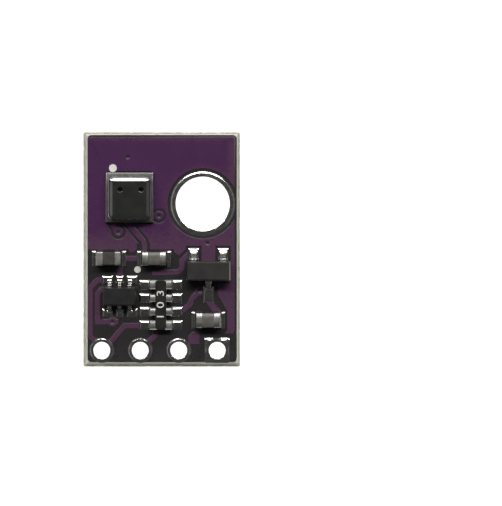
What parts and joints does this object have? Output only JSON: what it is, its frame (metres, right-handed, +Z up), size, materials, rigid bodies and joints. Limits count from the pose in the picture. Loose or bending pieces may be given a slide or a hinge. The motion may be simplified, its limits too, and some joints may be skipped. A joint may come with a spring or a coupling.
{
  "type": "temperature humidity sensor module",
  "caption": "Small purple circuit board with a metal-lidded temperature and humidity sensor, a voltage regulator, level shifting, a plated mounting hole and a row of pin holes.",
  "frame": {"origin": "below the middle of the board's outline, on the surface that the board rests on", "axes": "+Z up out of the face that carries the parts, +Y along the board from the pin holes to the sensor, +X to the right of the board with +Y away"},
  "size_m": [0.0104, 0.0156, 0.0028],
  "materials": {
    "laminate": "raw woven glass-fibre laminate, pale and fibrous at the broken edges",
    "copper": "bare copper foil under the solder mask",
    "solder_mask": "purple solder mask, lighter over copper, nearly black over bare laminate",
    "tin": "bright hot-air-levelled solder on copper, slightly domed and rippled",
    "solder": "bright reflowed solder with fine frosting",
    "ink": "off-white printed ink",
    "substrate": "pale laminate sensor base with a satin cut edge",
    "lid_metal": "glossy black-nickel drawn lid with fine scratches and specks",
    "silicon": "polished silicon",
    "gold": "bright gold wire",
    "dark_ceramic": "dark brown-grey fired ceramic, satin",
    "tan_ceramic": "tan-grey fired ceramic, satin",
    "alumina": "white alumina, matte",
    "film": "printed resistor paste",
    "glaze": "black glaze with off-white printed digits",
    "terminal": "satin tin plating, brighter along the rounded edges",
    "lead_metal": "tinned lead frame, satin",
    "mould": "black moulding compound with a fine grain"
  },
  "bodies": {
    "root": {"board_laminate": "laminate", "top_copper": "copper", "bottom_copper": "copper", "top_solder_mask": "solder_mask", "bottom_solder_mask": "solder_mask", "mounting_hole_plating": "tin", "via_barrels": "copper", "marking_dots": "ink", "sensor_base": "substrate", "sensor_lid": "lid_metal", "sensor_element": "silicon", "sensor_readout_chip": "silicon", "sensor_bond_wires": "gold", "sensor_solder": "solder", "network_ceramic": "alumina", "network_resistors": "film", "network_glaze": "glaze", "network_terminals": "terminal", "network_solder": "solder", "transistor_body": "mould", "transistor_solder": "solder", "regulator_body": "mould", "regulator_solder": "solder", "pin_hole_plating_1": "tin", "pin_hole_plating_2": "tin", "pin_hole_plating_3": "tin", "pin_hole_plating_4": "tin", "capacitor_1_body": "dark_ceramic", "capacitor_1_left_cap": "terminal", "capacitor_1_right_cap": "terminal", "capacitor_1_solder": "solder", "capacitor_2_body": "tan_ceramic", "capacitor_2_left_cap": "terminal", "capacitor_2_right_cap": "terminal", "capacitor_2_solder": "solder", "capacitor_3_body": "tan_ceramic", "capacitor_3_left_cap": "terminal", "capacitor_3_right_cap": "terminal", "capacitor_3_solder": "solder", "transistor_lead_1": "lead_metal", "transistor_lead_2": "lead_metal", "transistor_lead_3": "lead_metal", "transistor_lead_4": "lead_metal", "transistor_lead_5": "lead_metal", "transistor_lead_6": "lead_metal", "regulator_lead_1": "lead_metal", "regulator_lead_2": "lead_metal", "regulator_lead_3": "lead_metal"}
  },
  "joints": []
}
